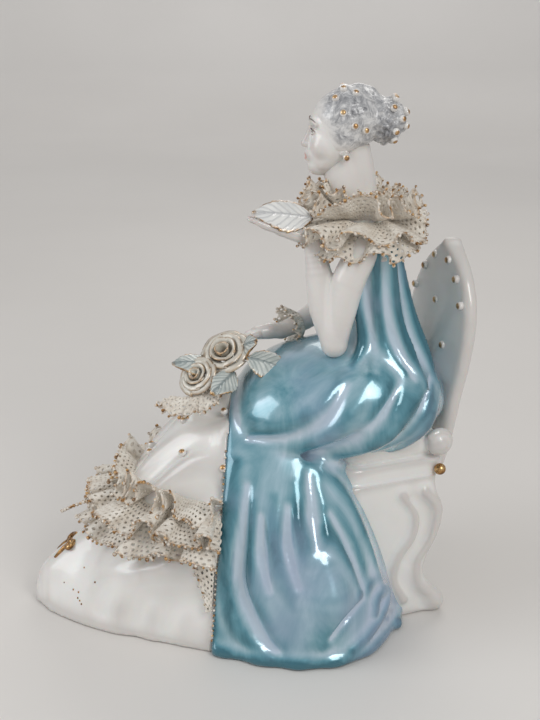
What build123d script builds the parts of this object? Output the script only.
"""Porcelain lady seated on a chair, dressed in lustre glaze and dipped lace.

She is built the way a lace-figure workshop builds one: hollow slip-cast shells for the skirts and bodice,
solid-cast limbs and chair parts, hand-pressed leaves and petals, rolled beads, and ruffles of net dipped in
slip. Every piece is a solid of its own, cut to the surface of the pieces that it is luted to.

Units are millimetres. +Z is up, the lady faces -X, and her left side is towards -Y.
The origin is the centre of the bounding box's base.
"""

import os
from math import cos, pi, radians, sin

from build123d import *

# ---------------------------------------------------------------- driving dimensions
CAST_WALL = 3.5  # wall that the slip leaves in the plaster mould
PLATE_THICKNESS = 3.0  # the plate that closes the skirts' underside, flush with their rim
UNDERSIDE_GRIND = 0.01  # ground off the plate so that its resting face is truly flat
VENT_RADIUS = 3.0  # firing vent in that plate
VENT_X = 20.0
LACE_THICKNESS = 1.0  # net after dipping and firing
LEAF_THICKNESS = 1.2
PETAL_THICKNESS = 0.9
BEAD_RADIUS = 1.4

SEAM_FOOT_X = -15.0  # where the blue gown meets the white petticoat, at the floor
SEAM_LEAN = 4.5  # degrees that the seam leans back towards the lap
TRAIN_TOP_Z = 22.0  # the white train ends here and the petticoat panel begins

# The skirts' outer shape: X, half width, height of each upright arch that it passes through.
SKIRT_ARCHES = [
    (-87.5, 8.0, 8.0),
    (-84.0, 13.0, 15.0),
    (-76.0, 19.0, 20.5),
    (-66.0, 26.0, 28.0),
    (-54.0, 32.0, 47.0),
    (-40.0, 36.5, 66.0),
    (-26.0, 41.0, 82.0),
    (-10.0, 46.0, 92.0),
    (6.0, 52.5, 93.0),
    (22.0, 55.5, 88.0),
    (38.0, 51.0, 70.0),
    (48.0, 41.5, 46.0),
    (55.0, 30.0, 22.0),
    (59.0, 16.0, 8.0),
]

# The thighs and hips under the gown: X, centre height, half width, half height.
LAP_ELLIPSES = [
    (-7.0, 85.0, 15.0, 8.0),
    (-2.0, 87.0, 26.0, 15.0),
    (10.0, 89.0, 33.0, 21.0),
    (30.0, 90.5, 35.0, 24.5),
    (48.0, 91.5, 33.0, 24.0),
    (63.0, 90.0, 26.0, 18.0),
    (72.0, 88.0, 15.0, 10.0),
]

# The bodice, from the hips to the shoulders: centre X, height, half length along X, half width.
BODICE_ELLIPSES = [
    (54.0, 96.0, 17.5, 21.0),
    (52.5, 108.0, 15.5, 17.0),
    (50.0, 122.0, 11.8, 15.0),
    (47.0, 138.0, 9.5, 17.0),
    (46.0, 150.0, 9.5, 19.5),
]

# The shoulders and the tilted neck: centre X, height, half length along X, half width.
NECK_ELLIPSES = [
    (46.0, 150.0, 9.5, 19.5),
    (45.0, 156.0, 9.0, 17.0),
    (42.5, 161.0, 7.6, 9.0),
    (40.0, 168.0, 7.4, 7.2),
    (38.5, 178.0, 7.6, 7.2),
    (37.0, 187.0, 6.8, 6.6),
]

# The head on its own upright axis: centre X, height, half length, half width, from under the chin to the crown.
HEAD_ELLIPSES = [
    (-6.8, -15.5, 3.2, 3.4),
    (-5.6, -13.0, 5.6, 5.6),
    (-4.0, -8.0, 8.6, 7.9),
    (-1.2, -2.0, 11.3, 9.4),
    (0.0, 4.0, 12.4, 10.2),
    (0.4, 9.0, 11.2, 9.3),
    (0.8, 12.8, 7.6, 6.6),
    (1.0, 14.6, 3.0, 2.8),
]
NOSE = [((-11.6, 0, 1.0), 1.2), ((-13.2, 0, -2.5), 1.5), ((-13.4, 0, -4.6), 1.6), ((-11.4, 0, -5.6), 1.2)]
HEAD_CENTRE = (34.6, 0.0, 191.5)
HEAD_TILT = -4.0  # degrees; a positive tilt would tuck the chin in
HAIR_THICKNESS = 1.4
HAIRLINE_SETBACK = 2.0  # the hair begins this far behind a slanting plane through the head's centre
BUN_CENTRE = (50.0, 0.0, 195.5)
BUN_RADIUS = 9.0
CAP_BEAD_REACH = (14.0, 11.5, 16.0)
CAP_BEAD_SPOTS = [(50, -115), (28, -95), (11, -77), (60, -60), (5, -60), (72, -100)]  # elevation and azimuth
BUN_BEAD_SPOTS = [(35, -70), (8, -46), (-20, -65), (62, -30), (20, -15), (-45, -60), (-10, -25)]

CHAIR_TURN = 22.0  # degrees that the chair stands turned under the lady
CHAIR_CENTRE = (46.0, 2.3)
PANEL_SPREAD = 21.0  # from the chair's middle to the outside of each leg panel
PANEL_THICKNESS = 6.5
SEAT_LOW_Z = 58.0
SEAT_THICKNESS = 9.0
BACK_REACH = 26.5  # from the chair's middle to the foot of its back
BACK_LEAN = 5.5  # degrees
BACK_THICKNESS = 4.5
BACK_OUTLINE = [(13.0, 0.0), (19.0, 30.0), (23.0, 55.0), (20.5, 70.0), (12.0, 82.0), (0.0, 90.0)]  # across and up
BACK_BUTTON_RADIUS = 1.7
BACK_BUTTON_SPOTS = [(-17.5, 68), (-12, 77), (-5, 83), (5, 83), (12, 77), (17.5, 68), (0, 66), (-9, 50), (9, 50)]
SCROLL_REACH = 20.0
SCROLL_RADIUS = 5.5
REAR_PANEL_REACH = 9.0
REAR_ARCH_HALF_WIDTH = 7.5
REAR_ARCH_HEIGHT = 12.0
CUSHION_THICKNESS = 11.0

COLLAR_FLUTES = 13
CUFF_FLUTES = 9
HEM_FLUTES = 11
TAIL_WIDTH = 7.0
TAIL_LOW_Z = 12.0
TAIL_HIGH_Z = 31.0
PETTICOAT_BEAD_SPOTS = [(6, 62), (6, 80), (7, 50), (7, 72), (5, 84)]  # which arch, and how far up it in degrees

seam_plane = Plane(
    origin=(SEAM_FOOT_X, 0, 0),
    x_dir=(0, 1, 0),
    z_dir=(-cos(radians(SEAM_LEAN)), 0, sin(radians(SEAM_LEAN))),
)
chair_plane = Plane(
    origin=(*CHAIR_CENTRE, 0),
    x_dir=(cos(radians(CHAIR_TURN)), sin(radians(CHAIR_TURN)), 0),
    z_dir=(0, 0, 1),
)

# ---------------------------------------------------------------- shapes that several pieces share
def arch_loft(arches, inset):
    """A body standing on the floor through upright arches, taken in by inset on its sides and top."""
    with BuildPart() as body:
        for x, half_width, height in arches:
            with BuildSketch(Plane(origin=(x, 0, 0), x_dir=(0, 1, 0), z_dir=(1, 0, 0))):
                with BuildLine():
                    arch = EllipticalCenterArc(
                        (0, 0), half_width - inset, height - inset, start_angle=0, arc_size=180
                    )
                    Line(arch @ 1, arch @ 0)
                make_face()
        loft()
    return body.part


def lengthwise_loft(ellipses, inset):
    """A body through upright ellipses strung along X, taken in by inset all round."""
    with BuildPart() as body:
        for x, z, half_width, half_height in ellipses:
            with BuildSketch(Plane(origin=(x, 0, z), x_dir=(0, 1, 0), z_dir=(1, 0, 0))):
                Ellipse(half_width - inset, half_height - inset)
        loft()
    return body.part


def upright_loft(ellipses, inset):
    """A body through level ellipses stacked along Z, taken in by inset all round."""
    with BuildPart() as body:
        for x, z, half_length, half_width in ellipses:
            with BuildSketch(Plane((x, 0, z))):
                Ellipse(half_length - inset, half_width - inset)
        loft()
    return body.part


def limb(stations):
    """A solid-cast limb through round sections. Each station is a centre and a radius."""
    last = len(stations) - 1
    with BuildPart() as body:
        for i, (centre, radius) in enumerate(stations):
            ahead = Vector(stations[min(i + 1, last)][0]) - Vector(stations[max(i - 1, 0)][0])
            with BuildSketch(Plane(centre, z_dir=ahead)):
                Circle(radius)
        loft()
    return body.part


def spindle(start, end, radius):
    """A round-sectioned petal or loop that swells between two thin ends."""
    middle = (Vector(start) + Vector(end)) * 0.5
    return limb([(start, radius * 0.35), (middle, radius), (end, radius * 0.35)])


def bead_on(centre, reach, spot, side):
    """A bead on an oval surface. spot is its elevation and azimuth, and side -1 or 1 mirrors it across Y."""
    elevation, azimuth = (radians(angle) for angle in spot)
    place = Vector(
        reach[0] * cos(elevation) * cos(azimuth),
        -side * reach[1] * cos(elevation) * sin(azimuth),
        reach[2] * sin(elevation),
    )
    with BuildPart() as body:
        with Locations(Vector(centre) + place):
            Sphere(BEAD_RADIUS)
    return body.part


def fluted_oval(half_x, half_y, flutes, depth):
    """The points of a fluted oval, four to a flute."""
    points = []
    for i in range(flutes * 4):
        angle = 2 * pi * i / (flutes * 4)
        reach = depth * sin(flutes * angle)
        points.append(((half_x + reach) * cos(angle), (half_y + reach) * sin(angle)))
    return points


def fluted_body(root, rim, flutes, depth, inset):
    """A solid between two fluted ovals, taken in by inset. The flutes are shallow at the gathered root."""
    with BuildPart() as body:
        for (plane, half_x, half_y), wave in ((root, depth * 0.3), (rim, depth)):
            with BuildSketch(plane):
                with BuildLine():
                    Spline(*fluted_oval(half_x - inset, half_y - inset, flutes, wave), periodic=True)
                make_face()
        loft(ruled=True)
    return body.part


def ruffle(root, rim, flutes, depth):
    """A ruffle of dipped net from its gathered root to its rim. Each is a plane and two half sizes."""
    with BuildPart() as body:
        add(fluted_body(root, rim, flutes, depth, 0))
        add(fluted_body(root, rim, flutes, depth, LACE_THICKNESS), mode=Mode.SUBTRACT)
    return body.part


def leaf(length, width):
    """A pressed leaf along +X: a pointed outline cut from a bowed sheet, with its stem end at the origin."""
    bow_radius = length * 1.3
    with BuildPart() as body:
        with BuildSketch(Plane.XZ):
            with Locations((length / 2, -bow_radius)):
                Circle(bow_radius)
                Circle(bow_radius - LEAF_THICKNESS, mode=Mode.SUBTRACT)
            with Locations((length / 2, -bow_radius * 1.5)):
                Rectangle(bow_radius * 4, bow_radius * 2, mode=Mode.SUBTRACT)
        extrude(amount=width, both=True)
        with BuildSketch(Plane.XY):
            with BuildLine():
                near_edge = ThreePointArc((0, 0), (length * 0.45, width / 2), (length, 0))
                ThreePointArc(near_edge @ 1, (length * 0.45, -width / 2), near_edge @ 0)
            make_face()
        extrude(amount=bow_radius, both=True, mode=Mode.INTERSECT)
    return body.part


def rose(radius):
    """An open rose on +Z: a bud inside two cups of petals, each cup notched between its petals."""
    with BuildPart() as flower:
        with BuildSketch(Plane.XZ):
            with BuildLine():
                bud = ThreePointArc((0, radius * 0.85), (radius * 0.27, radius * 0.5), (0, 0))
                Line(bud @ 1, bud @ 0)
            make_face()
        revolve(axis=Axis.Z)
        for reach, rise, petals in ((0.62, 0.78, 3), (1.0, 0.62, 5)):
            with BuildSketch(Plane.XZ) as cup:
                with BuildLine():
                    outer = ThreePointArc(
                        (0, 0),
                        (radius * reach * 0.8, radius * rise * 0.35),
                        (radius * reach, radius * rise),
                    )
                    inner = ThreePointArc(
                        (radius * reach - PETAL_THICKNESS, radius * rise),
                        (radius * reach * 0.8 - PETAL_THICKNESS, radius * rise * 0.35 + PETAL_THICKNESS * 0.6),
                        (0, PETAL_THICKNESS),
                    )
                    Line(outer @ 1, inner @ 0)
                    Line(inner @ 1, outer @ 0)
                make_face()
            revolve(cup.sketch, axis=Axis.Z)
            with Locations((0, 0, radius * (rise + 0.1))):
                with PolarLocations(radius * reach, petals, start_angle=20 / reach):
                    Cylinder(radius * 0.16, radius * 0.5, mode=Mode.SUBTRACT)
    return flower.part


skirt_body = arch_loft(SKIRT_ARCHES, 0)
skirt_cavity = arch_loft(SKIRT_ARCHES[1:-1], CAST_WALL)
lap_body = lengthwise_loft(LAP_ELLIPSES, 0)
lap_cavity = lengthwise_loft(LAP_ELLIPSES[1:-1], CAST_WALL)
bodice_body = upright_loft(BODICE_ELLIPSES, 0)
bodice_cavity = upright_loft(BODICE_ELLIPSES[:-1], CAST_WALL)

os.makedirs("parts", exist_ok=True)

# ---------------------------------------------------------------- skirts
with BuildPart() as white_side:
    add(skirt_body)
    split(bisect_by=seam_plane, keep=Keep.TOP)
    add(skirt_cavity, mode=Mode.SUBTRACT)
    add(lap_body, mode=Mode.SUBTRACT)

with BuildPart() as white_train:
    add(white_side.part)
    split(bisect_by=Plane.XY.offset(TRAIN_TOP_Z), keep=Keep.BOTTOM)
white_train.part.label = "white_train"
export_step(white_train.part, "parts/white_train.step")

with BuildPart() as petticoat_panel:
    add(white_side.part)
    split(bisect_by=Plane.XY.offset(TRAIN_TOP_Z), keep=Keep.TOP)
petticoat_panel.part.label = "petticoat_panel"
export_step(petticoat_panel.part, "parts/petticoat_panel.step")

with BuildPart() as gown_skirt:
    add(skirt_body)
    split(bisect_by=seam_plane, keep=Keep.BOTTOM)
    add(skirt_cavity, mode=Mode.SUBTRACT)
    add(lap_body, mode=Mode.SUBTRACT)
gown_skirt.part.label = "gown_skirt"
export_step(gown_skirt.part, "parts/gown_skirt.step")

with BuildPart() as gown_lap:
    add(lap_body)
    for cavity in (lap_cavity, skirt_cavity, bodice_cavity):
        add(cavity, mode=Mode.SUBTRACT)
gown_lap.part.label = "gown_lap"
export_step(gown_lap.part, "parts/gown_lap.step")

with BuildPart() as bodice:
    add(bodice_body)
    add(lap_body, mode=Mode.SUBTRACT)
    add(bodice_cavity, mode=Mode.SUBTRACT)
bodice.part.label = "bodice"
export_step(bodice.part, "parts/bodice.step")

with BuildPart() as underside_plate:
    add(skirt_cavity)
    split(bisect_by=Plane.XY.offset(PLATE_THICKNESS), keep=Keep.BOTTOM)
    split(bisect_by=Plane.XY.offset(UNDERSIDE_GRIND), keep=Keep.TOP)
    with Locations((VENT_X, 0, 0)):
        Cylinder(VENT_RADIUS, PLATE_THICKNESS * 4, mode=Mode.SUBTRACT)
underside_plate.part.label = "underside_plate"
export_step(underside_plate.part, "parts/underside_plate.step")

# ---------------------------------------------------------------- slipper under the petticoat
with BuildPart() as slipper:
    add(limb([((-79, -4, 17), 3.0), ((-75, -4, 20), 4.4), ((-69, -4, 24.5), 5.2), ((-62, -4, 30), 4.6)]))
    add(skirt_body, mode=Mode.SUBTRACT)
slipper.part.label = "slipper"
export_step(slipper.part, "parts/slipper.step")

with BuildPart() as slipper_bow:
    for side in (-1, 1):
        add(spindle((-72.5, -4, 26.5), (-73.5, -4 + 5.5 * side, 27), 1.4))
    add(slipper.part, mode=Mode.SUBTRACT)
slipper_bow.part.label = "slipper_bow"
export_step(slipper_bow.part, "parts/slipper_bow.step")

# ---------------------------------------------------------------- chair
def chair_point(ahead, across, up):
    """A point given from the chair's middle: towards its back, towards its right arm, and up."""
    return chair_plane.from_local_coords((ahead, across, up))


chair_back_dir = chair_plane.x_dir
chair_side_dir = chair_plane.y_dir
body_parts = (skirt_body, lap_body, bodice_body)


def leg_panel(outer):
    """One side of the chair: its cabriole leg and apron in one casting. outer is its far face."""
    with BuildPart() as panel:
        with BuildSketch(Plane(chair_point(0, outer, 0), x_dir=chair_back_dir, z_dir=-chair_side_dir)):
            with BuildLine():
                rear = Spline(
                    (23, 0), (23, 6), (19.5, 11), (15, 18.5), (18.5, 28.5), (21.3, 40), (20.5, 49), (19, SEAT_LOW_Z)
                )
                Polyline(rear @ 1, (-8, SEAT_LOW_Z), (-8, 0), rear @ 0)
            make_face()
        extrude(amount=PANEL_THICKNESS)
        add(skirt_body, mode=Mode.SUBTRACT)
    return panel.part.solids().sort_by(SortBy.VOLUME)[-1]


with BuildPart() as chair_left_panel:
    add(leg_panel(-PANEL_SPREAD + PANEL_THICKNESS))
chair_left_panel.part.label = "chair_left_panel"
export_step(chair_left_panel.part, "parts/chair_left_panel.step")

with BuildPart() as chair_right_panel:
    add(leg_panel(PANEL_SPREAD))
chair_right_panel.part.label = "chair_right_panel"
export_step(chair_right_panel.part, "parts/chair_right_panel.step")

with BuildPart() as chair_rear_panel:
    gap = 2 * (PANEL_SPREAD - PANEL_THICKNESS)
    with BuildSketch(Plane(chair_point(REAR_PANEL_REACH, 0, 0), x_dir=chair_side_dir, z_dir=chair_back_dir)):
        with Locations((0, SEAT_LOW_Z / 2)):
            Rectangle(gap, SEAT_LOW_Z)
        Ellipse(REAR_ARCH_HALF_WIDTH, REAR_ARCH_HEIGHT, mode=Mode.SUBTRACT)
    extrude(amount=PANEL_THICKNESS * 0.7)
    add(skirt_body, mode=Mode.SUBTRACT)
chair_rear_panel.part.label = "chair_rear_panel"
export_step(chair_rear_panel.part, "parts/chair_rear_panel.step")

with BuildPart() as chair_seat:
    with BuildSketch(Plane(chair_point(2, 0, SEAT_LOW_Z), x_dir=chair_back_dir, z_dir=(0, 0, 1))):
        RectangleRounded(46, 2 * PANEL_SPREAD + 3, 9)
    extrude(amount=SEAT_THICKNESS)
    fillet(chair_seat.edges().group_by(Axis.Z)[-1], radius=2)
    for other in body_parts:
        add(other, mode=Mode.SUBTRACT)
chair_seat.part.label = "chair_seat"
export_step(chair_seat.part, "parts/chair_seat.step")

with BuildPart() as chair_cushion:
    cushion_plane = Plane(chair_point(2, 0, SEAT_LOW_Z + SEAT_THICKNESS), x_dir=chair_back_dir, z_dir=(0, 0, 1))
    with BuildSketch(cushion_plane):
        RectangleRounded(42, 2 * PANEL_SPREAD - 2, 8)
    extrude(amount=CUSHION_THICKNESS)
    fillet(chair_cushion.edges().group_by(Axis.Z)[-1], radius=4)
    for other in body_parts:
        add(other, mode=Mode.SUBTRACT)
chair_cushion.part.label = "chair_cushion"
export_step(chair_cushion.part, "parts/chair_cushion.step")

back_up = chair_back_dir * sin(radians(BACK_LEAN)) + Vector(0, 0, cos(radians(BACK_LEAN)))
back_plane = Plane(
    chair_point(BACK_REACH, 0, SEAT_LOW_Z),
    x_dir=chair_side_dir,
    z_dir=chair_side_dir.cross(back_up),
)
with BuildPart() as chair_back:
    with BuildSketch(back_plane):
        with BuildLine():
            right_edge = Spline(*BACK_OUTLINE)
            left_edge = Spline(*[(-across, up) for across, up in BACK_OUTLINE])
            Line(left_edge @ 0, right_edge @ 0)
        make_face()
    extrude(amount=BACK_THICKNESS)
chair_back.part.label = "chair_back"
export_step(chair_back.part, "parts/chair_back.step")

with BuildPart() as chair_back_buttons:
    for across, up in BACK_BUTTON_SPOTS:
        with Locations(Plane(back_plane.from_local_coords((across, up, 0)), z_dir=-back_plane.z_dir)):
            Sphere(BACK_BUTTON_RADIUS, arc_size1=0, align=(Align.CENTER, Align.CENTER, Align.MIN))
chair_back_buttons.part.label = "chair_back_buttons"
export_step(chair_back_buttons.part, "parts/chair_back_buttons.step")

with BuildPart() as chair_scrolls:
    for side in (-1, 1):
        eye = chair_point(SCROLL_REACH, side * (PANEL_SPREAD + 1.5), SEAT_LOW_Z + SEAT_THICKNESS + 6)
        with BuildSketch(Plane(eye, x_dir=chair_back_dir, z_dir=-chair_side_dir)):
            Circle(SCROLL_RADIUS)
        extrude(amount=SCROLL_RADIUS * 0.45, both=True)
        with BuildSketch(Plane(eye, x_dir=chair_back_dir, z_dir=-chair_side_dir)):
            Circle(SCROLL_RADIUS * 0.4)
        extrude(amount=SCROLL_RADIUS * 0.62, both=True)
    for other in (chair_seat.part, chair_cushion.part, chair_back.part, *body_parts):
        add(other, mode=Mode.SUBTRACT)
chair_scrolls.part.label = "chair_scrolls"
export_step(chair_scrolls.part, "parts/chair_scrolls.step")

with BuildPart() as rail_bosses:
    for side in (-1, 1):
        with Locations(chair_point(SCROLL_REACH, side * (PANEL_SPREAD + 1.5), SEAT_LOW_Z + SEAT_THICKNESS / 2)):
            Sphere(2.2)
    add(chair_seat.part, mode=Mode.SUBTRACT)
rail_bosses.part.label = "rail_bosses"
export_step(rail_bosses.part, "parts/rail_bosses.step")

# ---------------------------------------------------------------- neck, head and hair
with BuildPart() as neck_and_shoulders:
    add(upright_loft(NECK_ELLIPSES, 0))
neck_and_shoulders.part.label = "neck_and_shoulders"
export_step(neck_and_shoulders.part, "parts/neck_and_shoulders.step")

head_place = Location(HEAD_CENTRE, (0, -HEAD_TILT, 0))
with BuildPart() as head:
    add(upright_loft(HEAD_ELLIPSES, 0).moved(head_place))
    add(limb(NOSE).moved(head_place))
    add(neck_and_shoulders.part, mode=Mode.SUBTRACT)
head.part.label = "head"
export_step(head.part, "parts/head.step")

hair_plane = Plane(HEAD_CENTRE, z_dir=(1, 0, 1)).offset(HAIRLINE_SETBACK)
with BuildPart() as hair_cap:
    add(upright_loft(HEAD_ELLIPSES[3:], -HAIR_THICKNESS).moved(head_place))
    split(bisect_by=hair_plane, keep=Keep.TOP)
    add(head.part, mode=Mode.SUBTRACT)
    add(neck_and_shoulders.part, mode=Mode.SUBTRACT)
hair_cap.part.label = "hair_cap"
export_step(hair_cap.part, "parts/hair_cap.step")

with BuildPart() as hair_bun:
    with Locations(BUN_CENTRE):
        Sphere(BUN_RADIUS)
    add(head.part, mode=Mode.SUBTRACT)
    add(hair_cap.part, mode=Mode.SUBTRACT)
hair_bun.part.label = "hair_bun"
export_step(hair_bun.part, "parts/hair_bun.step")

with BuildPart() as hair_beads:
    for side in (-1, 1):
        for spot in CAP_BEAD_SPOTS:
            add(bead_on(HEAD_CENTRE, CAP_BEAD_REACH, spot, side))
        for spot in BUN_BEAD_SPOTS:
            add(bead_on(BUN_CENTRE, (BUN_RADIUS, BUN_RADIUS, BUN_RADIUS), spot, side))
    for other in (head.part, hair_cap.part, hair_bun.part):
        add(other, mode=Mode.SUBTRACT)
hair_beads.part.label = "hair_beads"
export_step(hair_beads.part, "parts/hair_beads.step")

with BuildPart() as ear_studs:
    for side in (-1, 1):
        with Locations(Vector(HEAD_CENTRE) + Vector(0.5, side * 8.6, -8.5)):
            Sphere(BEAD_RADIUS * 0.8)
    add(head.part, mode=Mode.SUBTRACT)
ear_studs.part.label = "ear_studs"
export_step(ear_studs.part, "parts/ear_studs.step")

# ---------------------------------------------------------------- arms and hands
with BuildPart() as left_upper_arm:
    add(limb([((42, -17, 150), 5.8), ((37, -16.5, 139), 6.0), ((34, -16, 127), 5.6), ((31.5, -15.5, 115), 4.8)]))
    for other in (neck_and_shoulders.part, *body_parts):
        add(other, mode=Mode.SUBTRACT)
left_upper_arm.part.label = "left_upper_arm"
export_step(left_upper_arm.part, "parts/left_upper_arm.step")

with BuildPart() as left_forearm:
    add(limb([((31, -15.5, 113.5), 4.6), ((27, -14.5, 128), 5.0), ((24.8, -13, 141), 4.3), ((23.6, -12, 151), 3.5)]))
    add(left_upper_arm.part, mode=Mode.SUBTRACT)
    add(lap_body, mode=Mode.SUBTRACT)
left_forearm.part.label = "left_forearm"
export_step(left_forearm.part, "parts/left_forearm.step")

with BuildPart() as left_hand:
    add(limb([((23.6, -12, 151), 3.5), ((21, -12, 155), 3.6), ((16, -12, 157.5), 3.6), ((11, -12, 158.5), 3.0)]))
    for spread, reach in ((-3.2, 0.5), (-1.1, 1.8), (1.1, 1.6), (3.2, 0.0)):
        add(limb([
            ((13, -12 + spread * 0.6, 158.2), 1.2),
            ((6, -12 + spread, 159.2), 1.15),
            ((1.5 - reach, -12 + spread * 1.1, 161.0), 0.8),
        ]))
    add(limb([((19, -9.5, 157), 1.4), ((14, -7.2, 159.5), 1.2), ((11, -6.6, 161), 0.9)]))
    add(left_forearm.part, mode=Mode.SUBTRACT)
left_hand.part.label = "left_hand"
export_step(left_hand.part, "parts/left_hand.step")

with BuildPart() as palm_leaf:
    add(leaf(22, 12).moved(Location((23, -12, 162.5), (0, -6, 180))))
    add(left_hand.part, mode=Mode.SUBTRACT)
palm_leaf.part.label = "palm_leaf"
export_step(palm_leaf.part, "parts/palm_leaf.step")

with BuildPart() as right_upper_arm:
    add(limb([((42, 17, 150), 5.8), ((41.5, 20.5, 139), 5.9), ((38, 22.5, 128), 5.4), ((32, 22, 120), 4.9)]))
    for other in (neck_and_shoulders.part, *body_parts):
        add(other, mode=Mode.SUBTRACT)
right_upper_arm.part.label = "right_upper_arm"
export_step(right_upper_arm.part, "parts/right_upper_arm.step")

with BuildPart() as right_forearm:
    add(limb([((33.5, 22, 119.5), 4.7), ((27, 20.5, 117), 4.8), ((20, 17, 113.5), 4.1), ((12, 12.5, 111), 3.1)]))
    add(right_upper_arm.part, mode=Mode.SUBTRACT)
    for other in body_parts:
        add(other, mode=Mode.SUBTRACT)
right_forearm.part.label = "right_forearm"
export_step(right_forearm.part, "parts/right_forearm.step")

with BuildPart() as right_hand:
    add(limb([((12, 12.5, 111), 3.1), ((7, 10.2, 111.8), 3.2), ((1, 7.5, 111.5), 2.6), ((-5, 5, 110), 1.6)]))
    add(right_forearm.part, mode=Mode.SUBTRACT)
    for other in body_parts:
        add(other, mode=Mode.SUBTRACT)
right_hand.part.label = "right_hand"
export_step(right_hand.part, "parts/right_hand.step")

# ---------------------------------------------------------------- lace at the cuff and collar
cuff_dir = Vector(-8, -4.5, -2.5)
cuff_root = Plane((19, 16.4, 113.2), z_dir=cuff_dir)
cuff_rim = cuff_root.offset(6)
with BuildPart() as cuff_lace:
    add(ruffle((cuff_root, 4.6, 4.6), (cuff_rim, 7.5, 7.5), CUFF_FLUTES, 1.0))
    for other in (right_forearm.part, right_hand.part, *body_parts):
        add(other, mode=Mode.SUBTRACT)
cuff_lace.part.label = "cuff_lace"
export_step(cuff_lace.part, "parts/cuff_lace.step")


def level_oval(x, z, half_x, half_y, lean=0):
    """A ruffle's oval edge: its plane, dipping towards -X by lean degrees, and its half sizes."""
    return Plane((x, 0, z), x_dir=(cos(radians(lean)), 0, sin(radians(lean))), z_dir=(
        -sin(radians(lean)), 0, cos(radians(lean)))), half_x, half_y


collar_neighbours = [
    piece.part
    for piece in (
        neck_and_shoulders, bodice, head, left_upper_arm, left_forearm, left_hand, palm_leaf, right_upper_arm,
    )
]
for name, root, rim in (
    ("collar_lower_tier", level_oval(44.5, 155.5, 11.5, 19.0), level_oval(43.0, 147.5, 21.0, 26.0, 3)),
    ("collar_middle_tier", level_oval(43.5, 159.0, 9.5, 14.0), level_oval(42.0, 155.5, 23.5, 27.5, 2)),
    ("collar_upper_tier", level_oval(42.5, 161.5, 8.5, 10.0), level_oval(41.0, 167.5, 20.0, 22.0, -4)),
):
    with BuildPart() as collar_tier:
        add(ruffle(root, rim, COLLAR_FLUTES, 2.0))
        for other in collar_neighbours:
            add(other, mode=Mode.SUBTRACT)
    collar_tier.part.label = name
    export_step(collar_tier.part, f"parts/{name}.step")
    collar_neighbours.append(collar_tier.part)

# ---------------------------------------------------------------- bouquet on the lap
bouquet = [skirt_body, lap_body, right_hand.part, cuff_lace.part, left_forearm.part]
for name, radius, place in (
    ("rose_large", 7.5, Location((-8, -2, 103), (0, -25, 0))),
    ("rose_small", 6.0, Location((-19, -8, 97), (25, -35, 0))),
    ("rose_far", 6.5, Location((-14, 11, 98), (-25, -25, 0))),
):
    with BuildPart() as flower:
        add(rose(radius).moved(place))
        for other in bouquet:
            add(other, mode=Mode.SUBTRACT)
    flower_solid = flower.part.solids().sort_by(SortBy.VOLUME)[-1]
    flower_solid.label = name
    export_step(flower_solid, f"parts/{name}.step")
    bouquet.append(flower_solid)

for name, length, width, place in (
    ("bouquet_leaf_top", 15, 10, Location((-1, -4, 108), (10, -55, -20))),
    ("bouquet_leaf_left", 15, 10, Location((-12, -6, 106), (0, -20, 200))),
    ("bouquet_leaf_low", 14, 9, Location((-3, -12, 103), (20, 15, -110))),
    ("bouquet_leaf_right", 17, 10, Location((1, -9, 108), (20, 2, -20))),
    ("bouquet_leaf_far", 15, 10, Location((-9, 9, 106), (0, -25, 120))),
):
    with BuildPart() as spray:
        add(leaf(length, width).moved(place))
        for other in bouquet:
            add(other, mode=Mode.SUBTRACT)
    spray_solid = spray.part.solids().sort_by(SortBy.VOLUME)[-1]
    spray_solid.label = name
    export_step(spray_solid, f"parts/{name}.step")
    bouquet.append(spray_solid)

# ---------------------------------------------------------------- lace and beads on the petticoat
hem_tiers = [skirt_body, slipper.part, slipper_bow.part]
for name, root, rim in (
    ("hem_upper_tier", level_oval(-10, 57, 37.5, 35.5), level_oval(-10, 66, 47.0, 40.0, -4)),
    ("hem_middle_tier", level_oval(-10, 52, 41.5, 38.0), level_oval(-10, 46, 59.0, 45.0, -3)),
    ("hem_lower_tier", level_oval(-10, 46, 45.0, 40.5), level_oval(-10, 33, 55.0, 47.0, -3)),
):
    with BuildPart() as hem_tier:
        add(ruffle(root, rim, HEM_FLUTES, 2.6))
        split(bisect_by=seam_plane, keep=Keep.TOP)
        for other in hem_tiers:
            add(other, mode=Mode.SUBTRACT)
    hem_tier.part.label = name
    export_step(hem_tier.part, f"parts/{name}.step")
    hem_tiers.append(hem_tier.part)

with BuildPart() as hem_lace_tail:
    add(arch_loft(SKIRT_ARCHES, -LACE_THICKNESS * 1.5))
    split(bisect_by=seam_plane, keep=Keep.TOP)
    split(bisect_by=seam_plane.offset(TAIL_WIDTH), keep=Keep.BOTTOM)
    split(bisect_by=Plane.XY.offset(TAIL_LOW_Z), keep=Keep.TOP)
    split(bisect_by=Plane.XY.offset(TAIL_HIGH_Z), keep=Keep.BOTTOM)
    for other in hem_tiers:
        add(other, mode=Mode.SUBTRACT)
hem_lace_tail.part.label = "hem_lace_tail"
export_step(hem_lace_tail.part, "parts/hem_lace_tail.step")

with BuildPart() as petticoat_beads:
    for arch, angle in PETTICOAT_BEAD_SPOTS:
        x, half_width, height = SKIRT_ARCHES[arch]
        for side in (-1, 1):
            with Locations((x, side * half_width * cos(radians(angle)), height * sin(radians(angle)))):
                Sphere(BEAD_RADIUS)
    add(skirt_body, mode=Mode.SUBTRACT)
petticoat_beads.part.label = "petticoat_beads"
export_step(petticoat_beads.part, "parts/petticoat_beads.step")
